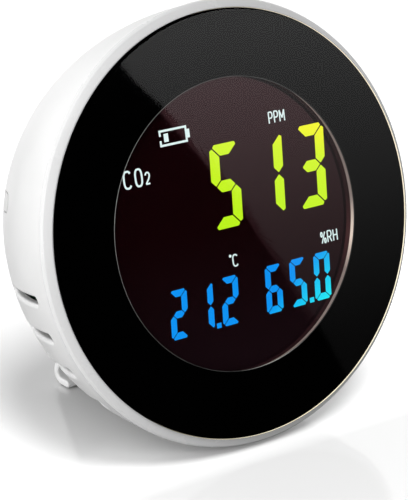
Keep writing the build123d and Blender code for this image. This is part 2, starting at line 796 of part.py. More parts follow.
# ---------------------------------------------------------------- buttons
# Each button has a flange behind the wall; the side button's follows the inside of the bowl.
FLANGE_CLEARANCE = 0.4
flange_outside = bowl(WALL + FLANGE_CLEARANCE)
flange_inside = bowl(WALL + FLANGE_CLEARANCE + 0.8)

with BuildPart() as power_button:
    with BuildSketch(Plane.YZ.offset(-36)):
        with Locations((SIDE_BUTTON_Y, SIDE_BUTTON_Z)):
            SlotOverall(SIDE_BUTTON_LENGTH + 1.6, SIDE_BUTTON_WIDTH + 1.6, rotation=90)
    extrude(amount=-20)
    add(flange_outside, mode=Mode.INTERSECT)
    add(flange_inside, mode=Mode.SUBTRACT)
    with BuildSketch(Plane.YZ.offset(-37.8)):
        with Locations((SIDE_BUTTON_Y, SIDE_BUTTON_Z)):
            SlotOverall(SIDE_BUTTON_LENGTH, SIDE_BUTTON_WIDTH, rotation=90)
    extrude(amount=-20)
    add(outer_bowl, mode=Mode.INTERSECT)

back_buttons = {}
for button_name, centre in BACK_BUTTONS.items():
    with BuildPart() as back_button:
        with BuildSketch(Plane.XY.offset(-CASE_DEPTH - BUTTON_PROUD)):
            with Locations(centre):
                Circle(BACK_BUTTON_RADIUS)
        extrude(amount=BUTTON_PROUD + WALL + FLANGE_CLEARANCE)
        fillet(back_button.edges().sort_by(Axis.Z)[0], radius=0.4)
        with BuildSketch(Plane.XY.offset(-CASE_DEPTH + WALL + FLANGE_CLEARANCE)):
            with Locations(centre):
                Circle(BACK_BUTTON_RADIUS + 0.9)
        extrude(amount=1.0)
    back_buttons[button_name] = back_button.part

# ---------------------------------------------------------------- stand
# It is drawn folded flat into its recess. Its length is worked out so that, opened, the pad
# under its toe reaches the table the round case rests on, and its toe then lies level.
TABLE = sqrt((BOWL_RADIUS * cos(radians(LEAN))) ** 2 + (BOWL_LENGTH * sin(radians(LEAN))) ** 2)
HINGE_HEIGHT = TABLE + HINGE_Y * cos(radians(LEAN)) + HINGE_Z * sin(radians(LEAN))
SWING = STAND_OPENING - LEAN
PLATE_OUTER_Z = HINGE_Z - BARREL_RADIUS
FOOT_CENTRE_Z = PLATE_OUTER_Z + FOOT_RADIUS
FOOT_DROP = HINGE_HEIGHT - PAD_PROUD - FOOT_RADIUS
STAND_REACH = (FOOT_DROP - (FOOT_CENTRE_Z - HINGE_Z) * sin(radians(SWING))) / cos(radians(SWING))
CURL = 90 + SWING

with BuildPart() as stand:
    with BuildSketch(Plane.YZ):
        with BuildLine():
            heel_to_foot = Line(
                (HINGE_Y + HEEL, PLATE_OUTER_Z),
                (HINGE_Y - STAND_REACH, PLATE_OUTER_Z),
            )
            curl_outside = JernArc(heel_to_foot @ 1, heel_to_foot % 1, FOOT_RADIUS, -CURL)
            toe_length = TOE - STAND_THICKNESS / 2
            toe_outside = PolarLine(curl_outside @ 1, toe_length, direction=curl_outside % 1)
            tip = JernArc(toe_outside @ 1, toe_outside % 1, STAND_THICKNESS / 2, -180)
            toe_inside = PolarLine(tip @ 1, toe_length, direction=tip % 1)
            curl_inside = JernArc(
                toe_inside @ 1, toe_inside % 1, FOOT_RADIUS - STAND_THICKNESS, CURL
            )
            foot_to_heel = Line(
                curl_inside @ 1, (HINGE_Y + HEEL, PLATE_OUTER_Z + STAND_THICKNESS)
            )
            Line(foot_to_heel @ 1, heel_to_foot @ 0)
        make_face()
        with Locations((HINGE_Y, HINGE_Z)):
            Circle(BARREL_RADIUS)
            Circle(PIN_RADIUS + 0.01, mode=Mode.SUBTRACT)
    extrude(amount=STAND_HALF_WIDTH, both=True)
    for side_face in stand.faces().filter_by(Plane.YZ):
        fillet(side_face.outer_wire().edges(), radius=0.5)
    # groove for the rubber pad
    toe_middle = toe_outside @ 0.5
    toe_face = Plane(
        origin=(0, toe_middle.X, toe_middle.Y),
        x_dir=(1, 0, 0),
        z_dir=(0, -sin(radians(CURL)), -cos(radians(CURL))),
    )
    with BuildSketch(toe_face):
        RectangleRounded(36.4, 2.2, 0.8)
    extrude(amount=PAD_PROUD - PAD_THICKNESS - 0.02, mode=Mode.SUBTRACT)

with BuildPart() as stand_pad:
    with BuildSketch(toe_face.offset(PAD_PROUD)):
        RectangleRounded(36.0, 1.8, 0.6)
    extrude(amount=-PAD_THICKNESS)

with BuildPart() as hinge_pin:
    with BuildSketch(Plane.YZ):
        with Locations((HINGE_Y, HINGE_Z)):
            Circle(PIN_RADIUS)
    extrude(amount=PIN_HALF_LENGTH, both=True)
    chamfer(hinge_pin.edges().filter_by(GeomType.CIRCLE), length=0.15)

# ---------------------------------------------------------------- stand everything on the table
pieces = {
    "front_glass": front_glass.part,
    "printed_mask": printed_mask.part,
    "glass_tape": glass_tape.part,
    "front_bezel": front_bezel.part,
    "display_gasket": display_gasket.part,
    "front_polariser": front_polariser.part,
    "display_front_glass": display_front_glass.part,
    "co2_figures": co2_figures.part,
    "climate_figures": climate_figures.part,
    "battery_symbol": battery_symbol.part,
    "unit_symbols": unit_symbols.part,
    "display_rear_glass": display_rear_glass.part,
    "rear_polariser": rear_polariser.part,
    "colour_film": colour_film.part,
    "light_guide": light_guide.part,
    "reflector_film": reflector_film.part,
    "lamp_strip": lamp_strip.part,
    "backlight_lamps": backlight_lamps.part,
    "display_holder": display_holder.part,
    "holder_screws": holder_screws.part,
    "rear_shell": rear_shell.part,
    "case_screws": case_screws.part,
    "circuit_board": circuit_board.part,
    "board_screws": board_screws.part,
    "co2_sensor": co2_sensor.part,
    "sensor_filters": sensor_filters.part,
    "climate_sensor": climate_sensor.part,
    "microcontroller": microcontroller.part,
    "board_components": board_components.part,
    "buzzer": buzzer.part,
    "back_switches": back_switches.part,
    "side_switch": side_switch.part,
    "usb_socket": usb_socket.part,
    "usb_tongue": usb_tongue.part,
    "battery_tape": battery_tape.part,
    "battery": battery.part,
    "battery_connector": battery_connector.part,
    "battery_leads": battery_leads.part,
    "ribbon_connector": ribbon_connector.part,
    "display_ribbon": display_ribbon.part,
    "power_button": power_button.part,
    "mode_button": back_buttons["mode_button"],
    "set_button": back_buttons["set_button"],
    "stand": stand.part,
    "stand_pad": stand_pad.part,
    "hinge_pin": hinge_pin.part,
}

hinge_line = Axis((0, HINGE_Y, HINGE_Z), (1, 0, 0))
for name in ("stand", "stand_pad", "hinge_pin"):
    pieces[name] = pieces[name].rotate(hinge_line, STAND_OPENING)

standing = {name: piece.rotate(Axis.X, 90 - LEAN) for name, piece in pieces.items()}
front = min(piece.bounding_box().min.Y for piece in standing.values())
back = max(piece.bounding_box().max.Y for piece in standing.values())
to_origin = Pos(0, -(front + back) / 2, TABLE)

os.makedirs("parts", exist_ok=True)
for name, piece in standing.items():
    placed = to_origin * piece
    placed.label = name
    export_step(placed, f"parts/{name}.step")
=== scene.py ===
"""Round air quality monitor: its detailed pieces and materials, the floor, lights and camera."""

import json
from math import ceil, cos, pi, radians, sin, tan

import bmesh
import bpy
from mathutils import Matrix, Vector


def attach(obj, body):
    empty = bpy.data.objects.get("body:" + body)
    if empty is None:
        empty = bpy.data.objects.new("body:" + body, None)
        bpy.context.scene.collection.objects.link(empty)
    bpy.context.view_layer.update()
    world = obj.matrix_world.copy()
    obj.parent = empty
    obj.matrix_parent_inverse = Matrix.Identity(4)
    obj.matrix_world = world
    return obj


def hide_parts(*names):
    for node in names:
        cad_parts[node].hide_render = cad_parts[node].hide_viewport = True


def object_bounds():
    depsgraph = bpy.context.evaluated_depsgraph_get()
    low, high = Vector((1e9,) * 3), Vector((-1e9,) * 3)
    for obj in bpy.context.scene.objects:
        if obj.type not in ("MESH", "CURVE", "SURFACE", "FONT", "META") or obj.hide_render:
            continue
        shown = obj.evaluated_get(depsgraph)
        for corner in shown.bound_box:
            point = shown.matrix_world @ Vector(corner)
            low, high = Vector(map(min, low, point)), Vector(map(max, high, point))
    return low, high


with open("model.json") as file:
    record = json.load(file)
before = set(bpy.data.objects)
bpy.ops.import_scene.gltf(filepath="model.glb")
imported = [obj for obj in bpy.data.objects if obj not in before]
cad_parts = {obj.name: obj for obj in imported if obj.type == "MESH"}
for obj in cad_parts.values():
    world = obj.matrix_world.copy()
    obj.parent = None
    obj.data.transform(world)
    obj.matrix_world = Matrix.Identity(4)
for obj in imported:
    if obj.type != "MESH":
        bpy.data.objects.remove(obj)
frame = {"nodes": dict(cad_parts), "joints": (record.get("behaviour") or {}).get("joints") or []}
cad_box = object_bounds()

# ---------------------------------------------------------------- the case's own frame
# Pieces are drawn with the case lying on its back, in millimetres: +Z comes out of the glass,
# +Y is the top of the display, and Z = 0 is the bezel seat. case_frame stands them up.
MM = 0.001
LEAN = radians(12.62)
HINGE_IN_CASE = Vector((0, -16.0, -36.9))

joints = {joint["name"]: joint for joint in frame["joints"]}
stand_up = Matrix((
    (1, 0, 0),
    (0, sin(LEAN), -cos(LEAN)),
    (0, cos(LEAN), sin(LEAN)),
))
case_origin = Vector(joints["stand_hinge"]["pos_m"]) - stand_up @ HINGE_IN_CASE * MM
case_frame = Matrix.Translation(case_origin) @ stand_up.to_4x4() @ Matrix.Scale(MM, 4)
case_up = stand_up @ Vector((0, 1, 0))

# Sizes that the CAD part shares
GLASS_RADIUS = 50.0
GLASS_BACK = 0.4
GLASS_FRONT = 1.25
GLASS_ROUNDING = 0.5
MASK_BACK = 0.25
WINDOW_RADIUS = 34.1
SEAT_RADIUS = 36.8
SEAT_BACK = -1.4
RIM_RADIUS = 52.15
BOWL_RADIUS = 51.75
POLARISER_FRONT = -1.6


# ---------------------------------------------------------------- material helpers
class Nodes:
    """A node tree being built: short ways to add nodes and join them."""

    def __init__(self, owner, output_kind):
        owner.use_nodes = True
        self.tree = owner.node_tree
        self.tree.nodes.clear()
        self.output = self.add(output_kind)

    def add(self, kind, **inputs):
        node = self.tree.nodes.new(kind)
        for name, value in inputs.items():
            self.put(node, name.replace("_", " "), value)
        return node

    def put(self, node, name, value):
        """Sets an input to a constant, or joins it to another node's output."""
        socket = node.inputs[name]
        if isinstance(value, bpy.types.NodeSocket):
            self.tree.links.new(value, socket)
        else:
            socket.default_value = value

    def place(self):
        """Where a point is on its piece, in metres."""
        return self.add("ShaderNodeTexCoord").outputs["Object"]

    def noise(self, scale, detail=3.0, roughness=0.55, where=None):
        node = self.add("ShaderNodeTexNoise", Scale=scale, Detail=detail, Roughness=roughness)
        self.put(node, "Vector", where or self.place())
        return node.outputs["Fac"]

    def spread(self, value, low, high, from_low=0.3, from_high=0.7):
        """Maps a range, by default a noise texture's usual one, onto low to high."""
        node = self.add(
            "ShaderNodeMapRange", Value=value,
            From_Min=from_low, From_Max=from_high, To_Min=low, To_Max=high,
        )
        return node.outputs["Result"]

    def math(self, operation, first, second):
        node = self.add("ShaderNodeMath")
        node.operation = operation
        self.put(node, 0, first)
        self.put(node, 1, second)
        return node.outputs[0]

    def vector_math(self, operation, first, second):
        """The outputs of an operation on two vectors, of which "Vector" or "Value" is used."""
        node = self.add("ShaderNodeVectorMath")
        node.operation = operation
        self.put(node, 0, first)
        self.put(node, 1, second)
        return node.outputs

    def mix(self, share, first, second):
        """Two colours mixed, each of them an output or three channels."""
        node = self.add("ShaderNodeMix")
        node.data_type = "RGBA"
        self.put(node, "Factor", share)
        for index, colour in ((6, first), (7, second)):
            is_joined = isinstance(colour, bpy.types.NodeSocket)
            self.put(node, index, colour if is_joined else (*colour, 1))
        return node.outputs[2]

    def bump(self, height, strength, distance, normal=None):
        node = self.add("ShaderNodeBump", Strength=strength, Distance=distance, Height=height)
        if normal:
            self.put(node, "Normal", normal)
        return node.outputs["Normal"]

    def along(self, direction, origin, low, high):
        """0 to 1 between two distances from origin along a direction in the row frame."""
        offset = self.vector_math("SUBTRACT", self.place(), origin)["Vector"]
        distance = self.vector_math("DOT_PRODUCT", offset, direction)["Value"]
        return self.spread(distance, 0, 1, low, high)

    def near(self, x, y, reach):
        """1 at a point of the case's face, falling to 0 a reach (in millimetres) away."""
        centre = case_frame @ Vector((x, y, 0))
        gap = self.vector_math("DISTANCE", self.place(), centre)["Value"]
        return self.spread(gap, 1, 0, 0, reach * MM)

    def blend(self, share, first, second):
        """Two shaders mixed."""
        node = self.add("ShaderNodeMixShader")
        for index, source in enumerate((share, first, second)):
            self.put(node, index, source)
        return node.outputs[0]

    def show(self, shader):
        """Makes a shader the tree's result."""
        self.put(self.output, "Surface", shader)


class Look(Nodes):
    """A material being built."""

    def __init__(self, name):
        self.material = bpy.data.materials.new(name)
        super().__init__(self.material, "ShaderNodeOutputMaterial")

    def principled(self, **inputs):
        self.show(self.add("ShaderNodeBsdfPrincipled", **inputs).outputs[0])


def plastic(name, colour, roughness, grain=0.25, shade=0.94, wear=0.04):
    """Moulded plastic: slightly uneven gloss, a fine grain, and edges rubbed a little paler."""
    n = Look(name)
    cloud = n.noise(38.0, 4.0)
    fine = n.noise(2600.0, 2.0, 0.6)
    darker = tuple(channel * shade for channel in colour)
    base = n.mix(n.spread(cloud, 0.0, 1.0), darker, colour)
    edges = n.spread(n.add("ShaderNodeNewGeometry").outputs["Pointiness"], 0, wear, 0.5, 0.56)
    lighter = tuple(min(1.0, channel * 1.04 + 0.01) for channel in colour)
    base = n.mix(edges, base, lighter)
    rough = n.spread(n.noise(150.0, 5.0), roughness - 0.05, roughness + 0.06)
    skin = n.bump(fine, grain, 0.00002)
    ripple = n.bump(n.noise(24.0, 2.0), 0.05, 0.0003, skin)
    n.principled(Base_Color=base, Roughness=rough, Normal=ripple, IOR=1.46)
    return n.material


def rubber(name, colour, roughness=0.75):
    n = Look(name)
    fine = n.noise(1800.0, 4.0, 0.7)
    dusty = tuple(channel * 1.8 + 0.01 for channel in colour)
    base = n.mix(n.spread(n.noise(90.0, 5.0), 0.0, 0.6), colour, dusty)
    rough = n.spread(fine, roughness - 0.08, min(1.0, roughness + 0.12))
    n.principled(
        Base_Color=base, Roughness=rough, Normal=n.bump(fine, 0.5, 0.00005), IOR=1.5
    )
    return n.material


def metal(name, colour, roughness=0.28, brushed=0.0):
    n = Look(name)
    where = n.place()
    if brushed:
        where = n.add("ShaderNodeMapping", Vector=where, Scale=(1.0, 1.0, brushed)).outputs[0]
    streaks = n.noise(700.0, 4.0, 0.6, where)
    stained = tuple(channel * 0.8 for channel in colour)
    base = n.mix(n.spread(n.noise(120.0, 4.0), 0.0, 0.7), colour, stained)
    rough = n.spread(streaks, roughness - 0.08, roughness + 0.12)
    n.principled(
        Base_Color=base, Metallic=1.0, Roughness=rough, Normal=n.bump(streaks, 0.15, 0.00002)
    )
    return n.material


def clear_glass(name, reflecting=True):
    """Clear glass that shows what is behind it unbent, and mirrors on its outer side only."""
    n = Look(name)
    clear = n.add("ShaderNodeBsdfTransparent", Color=(0.965, 0.975, 0.972, 1)).outputs[0]
    if not reflecting:
        n.show(clear)
        return n.material
    smear = n.spread(n.noise(30.0, 5.0), 0.02, 0.04)
    gloss = n.add("ShaderNodeBsdfGlossy", Roughness=smear).outputs[0]
    inner_side = n.add("ShaderNodeNewGeometry").outputs["Backfacing"]
    outer_side = n.math("SUBTRACT", 1.0, inner_side)
    fresnel = n.add("ShaderNodeFresnel", IOR=1.52).outputs[0]
    n.show(n.blend(n.math("MULTIPLY", fresnel, outer_side), clear, gloss))
    return n.material


def lit(name, start, end, way=(0, 1), low=-20, high=20, last=None, last_low=0, last_high=1):
    """A lit area of the display, whose colour drifts along a way across the face.

    low and high are where the drift from start to end begins and stops, in millimetres;
    last_low and last_high are the same for a second drift, to a last colour. A lit area glows
    but is no lamp.
    """
    n = Look(name)
    across = Vector((1, 0, 0)) * way[0] + case_up * way[1]
    colour = n.mix(n.along(across, case_origin, low * MM, high * MM), start, end)
    if last:
        share = n.along(across, case_origin, last_low * MM, last_high * MM)
        colour = n.mix(share, colour, last)
    n.principled(
        Base_Color=(0.0, 0.0, 0.0, 1),
        Roughness=0.35,
        Emission_Color=colour,
        Emission_Strength=1.0,
        IOR=1.2,
    )
    n.material.cycles.emission_sampling = "NONE"
    return n.material


def from_srgb(*channels):
    """Linear colour of 8-bit screen values."""
    result = []
    for channel in channels:
        share = channel / 255
        result.append(share / 12.92 if share <= 0.04045 else ((share + 0.055) / 1.055) ** 2.4)
    return tuple(result)


def printed_black(name):
    """Black ink on the back of glass: it meets the glass, so it has no gloss of its own."""
    n = Look(name)
    cloud = n.spread(n.noise(60.0, 4.0), 0.0, 1.0)
    ink = n.mix(cloud, (0.0003, 0.0003, 0.0003), (0.0006, 0.0006, 0.0006))
    n.principled(Base_Color=ink, Roughness=n.spread(n.noise(200.0), 0.7, 0.9), IOR=1.0)
    return n.material


def gasket_wall(name):
    """Brownish closed-cell foam, with a painted highlight at one place and a painted glow all over
    it.
    """
    n = Look(name)
    cells = n.noise(1500.0, 4.0, 0.7)
    foam = n.mix(n.spread(cells, 0, 1), (0.27, 0.215, 0.195), (0.34, 0.28, 0.25))
    # Painted highlight: the foam is paler round this point of the wall's right side
    painted_highlight_spot = n.near(34.8, -9.0, 9.0)
    n.principled(
        Base_Color=n.mix(painted_highlight_spot, foam, (0.85, 0.72, 0.62)),
        Roughness=n.spread(n.noise(300.0), 0.5, 0.65),
        Normal=n.bump(cells, 0.4, 0.00004),
        # Painted glow: the foam glows though it is no lamp, most at the highlight's point
        Emission_Color=n.mix(painted_highlight_spot, (0.06, 0.04, 0.038), (0.42, 0.31, 0.27)),
        Emission_Strength=1.0,
        IOR=1.5,
    )
    return n.material


def cut_edge(name):
    """The faint edge of the print round the window, with painted highlights at the left and at the
    foot.
    """
    n = Look(name)
    faint = n.mix(n.spread(n.noise(120.0, 3.0), 0, 1), (0.03, 0.03, 0.03), (0.09, 0.087, 0.084))
    # Painted highlights: the strip is pale near these two points of the window's edge
    left = n.mix(n.near(-30, 12, 34), faint, (0.45, 0.45, 0.44))
    foot = n.mix(n.near(6, -33.5, 11), left, (0.8, 0.78, 0.75))
    n.principled(Base_Color=foot, Roughness=n.spread(n.noise(400.0), 0.4, 0.6), IOR=1.45)
    return n.material


def edge_of_print(name):
    """The inner side of the print on the glass's edge: a painted highlight, a pale line that glows
    though it is no lamp.
    """
    n = Look(name)
    # Painted highlight: this pale colour and its glow stand in for light on the glass's edge
    line = n.mix(n.spread(n.noise(150.0, 3.0), 0, 1), (0.80, 0.70, 0.52), (0.95, 0.85, 0.66))
    n.principled(
        Base_Color=line,
        Roughness=n.spread(n.noise(400.0), 0.4, 0.6),
        Emission_Color=line,
        Emission_Strength=0.65,
        IOR=1.45,
    )
    return n.material


# ---------------------------------------------------------------- mesh helpers
# Edges that turn by more than this stay sharp in the shading
SHARP_ANGLE = radians(32)
# Flat sides of a round piece
SIDES = 288


def rounded_path(corners, closed=False, step=12):
    """Corners (x, y, radius) turned into points, each corner rounded to its radius."""
    points = []
    count = len(corners)
    for index, (x, y, radius) in enumerate(corners):
        here = Vector((x, y))
        is_end = not closed and index in (0, count - 1)
        if is_end or radius <= 0:
            points.append((x, y))
            continue
        before = Vector(corners[index - 1][:2]) - here
        after = Vector(corners[(index + 1) % count][:2]) - here
        before.normalize()
        after.normalize()
        half = before.angle(after) / 2
        back = radius / tan(half)
        centre = here + (before + after).normalized() * (radius / sin(half))
        first = here + before * back - centre
        last = here + after * back - centre
        turn = first.angle(last)
        pieces = max(2, ceil(turn / radians(step)))
        for piece in range(pieces + 1):
            share = piece / pieces
            arm = (
                first * sin((1 - share) * turn) + last * sin(share * turn)
            ) / sin(turn)
            points.append(tuple(centre + arm))
    return points


def finish_mesh(name, mesh, materials, node):
    """Stands a mesh up in the row frame, on the case, in the place of a CAD node."""
    mesh.transform(case_frame)
    mesh.update()
    for polygon in mesh.polygons:
        polygon.use_smooth = True
    mesh.set_sharp_from_angle(angle=SHARP_ANGLE)
    for material in materials:
        mesh.materials.append(material)
    piece = bpy.data.objects.new(name, mesh)
    bpy.context.scene.collection.objects.link(piece)
    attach(piece, "case")
    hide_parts(node)
    return piece


def lathe(name, profile, materials, node, closed=True, zones=None):
    """A piece of revolution about the case's axis from (radius, height) points.

    zones gives the material index of each stretch of the profile that isn't of the first one.
    """
    zones = zones or {}
    mesh = bpy.data.meshes.new(name)
    bm = bmesh.new()
    rings = []
    for radius, height in profile:
        if radius < 1e-6:
            rings.append([bm.verts.new((0, 0, height))])
            continue
        ring = []
        for side in range(SIDES):
            angle = 2 * pi * side / SIDES
            ring.append(bm.verts.new((radius * cos(angle), radius * sin(angle), height)))
        rings.append(ring)
    stretches = len(rings) if closed else len(rings) - 1
    for index in range(stretches):
        first, second = rings[index], rings[(index + 1) % len(rings)]
        if len(first) == 1 and len(second) == 1:
            continue
        for side in range(SIDES):
            after = (side + 1) % SIDES
            corners = [
                first[side % len(first)], first[after % len(first)],
                second[after % len(second)], second[side % len(second)],
            ]
            face = bm.faces.new(list(dict.fromkeys(corners)))
            face.material_index = zones.get(index, 0)
    bmesh.ops.recalc_face_normals(bm, faces=bm.faces)
    bm.to_mesh(mesh)
    bm.free()
    finish_mesh(name, mesh, materials, node)


# ---------------------------------------------------------------- materials
white_gloss = plastic("white_gloss_moulding", (0.82, 0.82, 0.822), 0.24, grain=0.06)
white_satin = plastic("white_satin_moulding", (0.83, 0.83, 0.828), 0.36, grain=0.18)
white_stand = plastic("white_stand_moulding", (0.84, 0.84, 0.838), 0.34, grain=0.15)
white_button = plastic("white_button_moulding", (0.78, 0.78, 0.775), 0.4, grain=0.2)
black_plastic = plastic("black_moulding", (0.02, 0.02, 0.021), 0.45, grain=0.4)
black_print = printed_black("black_print")
gasket_foam = gasket_wall("gasket_foam")
window_edge = cut_edge("window_edge")
painted_edge_highlight = edge_of_print("edge_of_print")
pad_rubber = rubber("pad_rubber", (0.03, 0.03, 0.031))
black_tape = rubber("black_tape", (0.02, 0.02, 0.021))
steel = metal("plated_steel", (0.62, 0.62, 0.6))
connector_steel = metal("connector_steel", (0.7, 0.7, 0.69), 0.2)
gold_can = metal("gold_can", (0.83, 0.63, 0.3), 0.25)
battery_foil = metal("battery_foil", (0.72, 0.73, 0.75), 0.35, brushed=0.1)
cover = clear_glass("cover_glass")
cover_back = clear_glass("cover_glass_back", reflecting=False)

# ---------------------------------------------------------------- cover glass, mask, bezel
glass_profile = [(0, GLASS_BACK)]
glass_profile += rounded_path([
    (0.01, GLASS_BACK, 0),
    (GLASS_RADIUS, GLASS_BACK, 0.12),
    (GLASS_RADIUS, GLASS_FRONT, GLASS_ROUNDING),
    (GLASS_RADIUS - GLASS_ROUNDING - 0.1, GLASS_FRONT, 0),
    (0.01, GLASS_FRONT, 0),
])
glass_profile.append((0, GLASS_FRONT))
# The last three stretches of the profile are the flat front, which mirrors; the rest doesn't
FRONT_START = len(glass_profile) - 4
lathe(
    "cover_glass", glass_profile, [cover, cover_back], "front_glass",
    closed=False, zones={stretch: 1 for stretch in range(FRONT_START)},
)

# The print goes round the glass's edge up to its rounding
MASK_FRONT = GLASS_BACK - 0.01
WINDOW_STRIP = 0.15
EDGE_PRINT = 0.03
EDGE_PRINT_FRONT = GLASS_FRONT - GLASS_ROUNDING - 0.02
mask_profile = [
    (WINDOW_RADIUS, MASK_BACK),
    (WINDOW_RADIUS, MASK_FRONT),
    (WINDOW_RADIUS + WINDOW_STRIP, MASK_FRONT),
    (GLASS_RADIUS - 4 * EDGE_PRINT, MASK_FRONT),
    (GLASS_RADIUS - 2 * EDGE_PRINT, EDGE_PRINT_FRONT),
    (GLASS_RADIUS - EDGE_PRINT, EDGE_PRINT_FRONT),
    (GLASS_RADIUS - EDGE_PRINT, MASK_BACK),
]
# The stretches of the profile that aren't black, and their materials: the strip round the window
# and the inner side of the print on the glass's edge, both carrying painted highlights
PALE_STRETCHES = {1: 1, 3: 2}
lathe(
    "printed_mask_ring", mask_profile, [black_print, window_edge, painted_edge_highlight],
    "printed_mask", zones=PALE_STRETCHES,
)

# The bezel: its seat under the glass, its bevelled rim, and its skirt inside the bowl
BEZEL_BACK = -2.6
SKIRT_OUTSIDE = 49.3
SKIRT_INSIDE = 47.8
SKIRT_BACK = -6.0
bezel_profile = rounded_path([
    (SEAT_RADIUS, 0, 0.15),
    (GLASS_RADIUS + 0.05, 0, 0.12),
    (BOWL_RADIUS, -0.95, 0.35),
    (RIM_RADIUS, -1.6, 0.3),
    (RIM_RADIUS, -2.2, 0.3),
    (BOWL_RADIUS, BEZEL_BACK, 0.1),
    (SKIRT_OUTSIDE, BEZEL_BACK, 0),
    (SKIRT_OUTSIDE, SKIRT_BACK, 0.2),
    (SKIRT_INSIDE, SKIRT_BACK, 0.2),
    (SKIRT_INSIDE, SEAT_BACK, 0),
    (SEAT_RADIUS, SEAT_BACK, 0.15),
], closed=True)
lathe("bezel_ring", bezel_profile, [white_gloss], "front_bezel")

# The gasket, between the display and the print
GASKET_INSIDE = WINDOW_RADIUS + 0.6
GASKET_OUTSIDE = SEAT_RADIUS - 0.2
GASKET_BACK = POLARISER_FRONT + 0.02
GASKET_FRONT = MASK_BACK - 0.02
gasket_profile = rounded_path([
    (GASKET_INSIDE, GASKET_BACK, 0),
    (GASKET_INSIDE, GASKET_FRONT, 0.25),
    (GASKET_OUTSIDE, GASKET_FRONT, 0.1),
    (GASKET_OUTSIDE, GASKET_BACK, 0),
], closed=True)
lathe("display_gasket_ring", gasket_profile, [gasket_foam], "display_gasket")

# ---------------------------------------------------------------- display
DIGIT_SLANT = 0.078
# The lit figures lie on the polariser
FIGURE_BACK = POLARISER_FRONT + 0.01
FIGURE_FRONT = POLARISER_FRONT + 0.05
SEGMENTS_LIT = {
    "0": "abcdef", "1": "bc", "2": "abged", "3": "abgcd", "5": "afgcd", "6": "afgedc",
}

figures_green = lit(
    "figures_green", from_srgb(196, 252, 30), from_srgb(220, 255, 44), way=(0.35, 1.0),
    low=0, high=19, last=from_srgb(255, 255, 44), last_low=20, last_high=27,
)
figures_blue = lit(
    "figures_blue", from_srgb(14, 152, 252), from_srgb(36, 240, 255), way=(0.8, -1.2),
    low=31, high=47,
)
symbols_white = lit("symbols_white", from_srgb(228, 250, 249), from_srgb(236, 254, 253))


def segment_outline(name, half_width, half_height, stroke):
    """Corners of one bar of a seven-segment figure, upright and centred on the figure."""
    w, h, s = half_width, half_height, stroke
    # How far the figure's corners are cut off, and half the gap between bars
    cut = 0.24 * s
    gap = 0.085 * s
    top = [
        (-w + s + gap, h - s), (-w + cut + gap, h - cut), (-w + 2 * cut, h),
        (w - 2 * cut, h), (w - cut - gap, h - cut), (w - s - gap, h - s),
    ]
    upper_right = [
        (w, h - 2 * cut), (w - cut, h - cut - gap), (w - s, h - s - gap),
        (w - s, s / 2 + gap), (w - s / 2, gap), (w, s / 2 + gap),
    ]
    middle = [
        (-w + s / 2 + gap, 0), (-w + s + gap, s / 2), (w - s - gap, s / 2),
        (w - s / 2 - gap, 0), (w - s - gap, -s / 2), (-w + s + gap, -s / 2),
    ]
    outlines = {
        "a": top,
        "b": upper_right,
        "c": [(x, -y) for x, y in upper_right],
        "d": [(x, -y) for x, y in top],
        "e": [(-x, -y) for x, y in upper_right],
        "f": [(-x, y) for x, y in upper_right],
        "g": middle,
    }
    return outlines[name]


def figures(digits, *, first_x, pitch, centre_y, half_width, half_height, stroke, group_gap=0.0):
    """Outlines of a row of leaning figures; the second group of three is set apart."""
    bars = []
    for place, digit in enumerate(digits):
        centre_x = first_x + pitch * place + (group_gap if place > 2 else 0.0)
        for name in SEGMENTS_LIT[digit]:
            corners = [
                (centre_x + x + DIGIT_SLANT * y, centre_y + y, 0.07 * stroke)
                for x, y in segment_outline(name, half_width, half_height, stroke)
            ]
            bars.append(rounded_path(corners, closed=True, step=30))
    return bars


def box_outline(left, bottom, right, top):
    return [(left, bottom), (right, bottom), (right, top), (left, top)]


def plates(name, outlines, material, node):
    """Flat figures with the given outlines, which glow without lighting what is round them."""
    mesh = bpy.data.meshes.new(name)
    bm = bmesh.new()
    for outline in outlines:
        low = [bm.verts.new((x, y, FIGURE_BACK)) for x, y in outline]
        high = [bm.verts.new((x, y, FIGURE_FRONT)) for x, y in outline]
        bm.faces.new(high)
        bm.faces.new(list(reversed(low)))
        for index in range(len(low)):
            after = (index + 1) % len(low)
            bm.faces.new((low[index], low[after], high[after], high[index]))
    bmesh.ops.recalc_face_normals(bm, faces=bm.faces)
    bm.to_mesh(mesh)
    bm.free()
    piece = finish_mesh(name, mesh, [material], node)
    piece.visible_diffuse = False


big_bars = figures(
    "513", first_x=-0.8, pitch=12.57, centre_y=9.2, half_width=4.17, half_height=9.8, stroke=2.68
)
plates("co2_reading", big_bars, figures_green, "co2_figures")

small_bars = figures(
    "212650", first_x=-18.36, pitch=7.28, centre_y=-17.43, half_width=2.43, half_height=5.68,
    stroke=1.6, group_gap=5.57,
)
# Decimal points
for middle_x in (-7.8, 19.7):
    small_bars.append(box_outline(middle_x - 0.65, -23.1, middle_x + 0.65, -21.9))
plates("climate_reading", small_bars, figures_blue, "climate_figures")

# Battery symbol: top and foot lines, right wall, cap, left wall in two parts, charge bar
battery_outlines = [
    box_outline(-17.4, 24.4, -9.75, 24.9),
    box_outline(-17.4, 21.1, -9.75, 21.6),
    box_outline(-10.25, 21.62, -9.75, 24.38),
    box_outline(-9.73, 22.0, -9.05, 24.0),
    box_outline(-17.4, 23.5, -16.9, 24.38),
    box_outline(-17.4, 21.62, -16.9, 22.5),
    box_outline(-16.15, 22.05, -14.95, 23.95),
]
plates(
    "battery_level_symbol", battery_outlines, symbols_white, "battery_symbol"
)


